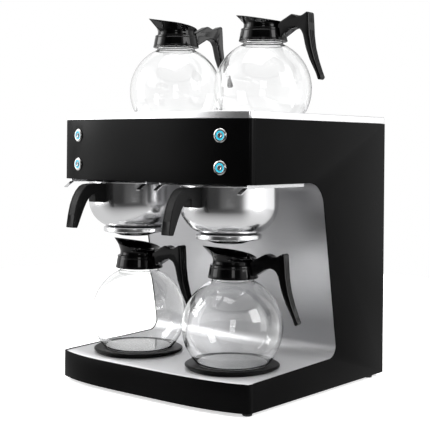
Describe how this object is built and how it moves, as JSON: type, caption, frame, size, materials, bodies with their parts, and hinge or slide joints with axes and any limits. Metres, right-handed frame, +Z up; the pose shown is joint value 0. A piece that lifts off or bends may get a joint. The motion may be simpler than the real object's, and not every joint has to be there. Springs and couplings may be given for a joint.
{
  "type": "twin coffee brewer",
  "caption": "Countertop twin filter coffee brewer with a bowed black housing, two pull-out steel baskets, warmer plates on deck and top, and glass globe jugs.",
  "frame": {"origin": "centre of the bounding box on the plane the feet stand on", "axes": "+X to the right seen from the front, front faces -Y, +Z up"},
  "size_m": [0.4186, 0.4785, 0.6224],
  "materials": {
    "black_paint": "satin black powder coat",
    "stainless": "brushed stainless",
    "clear_glass": "clear glass",
    "black_plastic": "glossy black moulding",
    "grip_plastic": "matt black moulding",
    "black_enamel": "black non-stick enamel",
    "rubber": "matt rubber",
    "blue_light": "translucent lit ring",
    "circuit_board": "lacquered board",
    "silicone": "translucent silicone",
    "brass": "cast brass"
  },
  "bodies": {
    "housing": {"base_shell": "black_paint", "basket_rails_left": "stainless", "basket_rails_right": "stainless", "button_bezel_lower_left": "stainless", "button_bezel_lower_right": "stainless", "button_bezel_upper_left": "stainless", "button_bezel_upper_right": "stainless", "button_ring_lower_left": "blue_light", "button_ring_lower_right": "blue_light", "button_ring_upper_left": "blue_light", "button_ring_upper_right": "blue_light", "control_board": "circuit_board", "foot_front_left": "rubber", "foot_front_right": "rubber", "foot_rear_left": "rubber", "foot_rear_right": "rubber", "front_fascia": "black_paint", "housing_floor": "black_paint", "inlet_valve": "brass", "inner_liner": "stainless", "power_gland": "black_plastic", "rear_cover": "black_paint", "side_panel_left": "black_paint", "side_panel_right": "black_paint", "spray_head_left": "stainless", "spray_head_right": "stainless", "spray_hose_left": "silicone", "spray_hose_right": "silicone", "top_tray": "stainless", "warmer_element_lower_left": "stainless", "warmer_element_lower_right": "stainless", "warmer_element_upper_left": "stainless", "warmer_element_upper_right": "stainless", "warmer_lower_left": "black_enamel", "warmer_lower_right": "black_enamel", "warmer_upper_left": "black_enamel", "warmer_upper_right": "black_enamel", "water_boiler": "stainless"},
    "basket_left": {"basket_bowl_left": "stainless", "basket_nozzle_left": "black_plastic", "basket_handle_left": "grip_plastic"},
    "basket_right": {"basket_bowl_right": "stainless", "basket_nozzle_right": "black_plastic", "basket_handle_right": "grip_plastic"},
    "jug_lower_left": {"jug_glass_lower_left": "clear_glass", "jug_handle_lower_left": "black_plastic", "jug_top_lower_left": "black_plastic"},
    "jug_lower_right": {"jug_glass_lower_right": "clear_glass", "jug_handle_lower_right": "black_plastic", "jug_top_lower_right": "black_plastic"},
    "jug_upper_left": {"jug_glass_upper_left": "clear_glass", "jug_handle_upper_left": "black_plastic", "jug_top_upper_left": "black_plastic"},
    "jug_upper_right": {"jug_glass_upper_right": "clear_glass", "jug_handle_upper_right": "black_plastic", "jug_top_upper_right": "black_plastic"},
    "button_upper_left": {"button_cap_upper_left": "stainless"},
    "button_upper_right": {"button_cap_upper_right": "stainless"},
    "button_lower_left": {"button_cap_lower_left": "stainless"},
    "button_lower_right": {"button_cap_lower_right": "stainless"}
  },
  "joints": [
    {"name": "basket_left_slide", "type": "slide", "parent": "housing", "child": "basket_left", "axis": [0, -1, 0], "range_m": [0, 0.24]},
    {"name": "basket_right_slide", "type": "slide", "parent": "housing", "child": "basket_right", "axis": [0, -1, 0], "range_m": [0, 0.24]},
    {"name": "jug_lower_left_slide", "type": "slide", "parent": "housing", "child": "jug_lower_left", "axis": [0, -1, 0], "range_m": [0, 0.3]},
    {"name": "jug_lower_right_slide", "type": "slide", "parent": "housing", "child": "jug_lower_right", "axis": [0, -1, 0], "range_m": [0, 0.3]},
    {"name": "jug_upper_left_lift", "type": "slide", "parent": "housing", "child": "jug_upper_left", "axis": [0, 0, 1], "range_m": [0, 0.22]},
    {"name": "jug_upper_right_lift", "type": "slide", "parent": "housing", "child": "jug_upper_right", "axis": [0, 0, 1], "range_m": [0, 0.22]},
    {"name": "button_upper_left_press", "type": "slide", "parent": "housing", "child": "button_upper_left", "axis": [0.2031, 0.9792, 0], "range_m": [0, 0.0015], "stiffness_N_per_m": 600},
    {"name": "button_upper_right_press", "type": "slide", "parent": "housing", "child": "button_upper_right", "axis": [-0.2031, 0.9792, 0], "range_m": [0, 0.0015], "stiffness_N_per_m": 600},
    {"name": "button_lower_left_press", "type": "slide", "parent": "housing", "child": "button_lower_left", "axis": [0.2031, 0.9792, 0], "range_m": [0, 0.0015], "stiffness_N_per_m": 600},
    {"name": "button_lower_right_press", "type": "slide", "parent": "housing", "child": "button_lower_right", "axis": [-0.2031, 0.9792, 0], "range_m": [0, 0.0015], "stiffness_N_per_m": 600}
  ]
}
